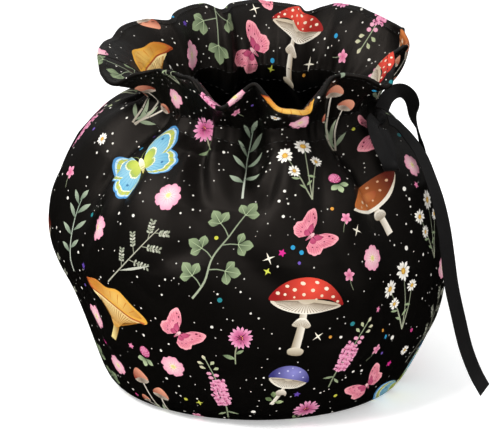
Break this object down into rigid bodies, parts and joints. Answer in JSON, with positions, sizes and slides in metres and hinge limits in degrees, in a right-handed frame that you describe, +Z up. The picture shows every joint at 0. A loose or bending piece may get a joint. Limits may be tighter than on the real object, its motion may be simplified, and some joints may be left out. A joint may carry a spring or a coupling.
{
  "type": "tea cosy",
  "caption": "Drawstring cover that keeps a teapot warm: a hollow padded bag with side slots for spout and handle, a gathered neck, a wavy ruffle and a ribbon tie.",
  "frame": {"origin": "middle of the cloth's own box, without the ribbon, on the surface that the hem stands on", "axes": "+X towards the handle side, -X towards the spout side, -Y to the front, +Z up"},
  "size_m": [0.2015, 0.1736, 0.1653],
  "materials": {
    "cloth": "matt woven polyester, black with a small flower, mushroom and moth print",
    "ribbon": "black ribbed ribbon with a low sheen"
  },
  "bodies": {
    "root": {"front_panel": "cloth", "back_panel": "cloth", "ribbon_knot": "ribbon", "ribbon_loop": "ribbon", "ribbon_front_tail": "ribbon", "ribbon_back_tail": "ribbon"}
  },
  "joints": []
}
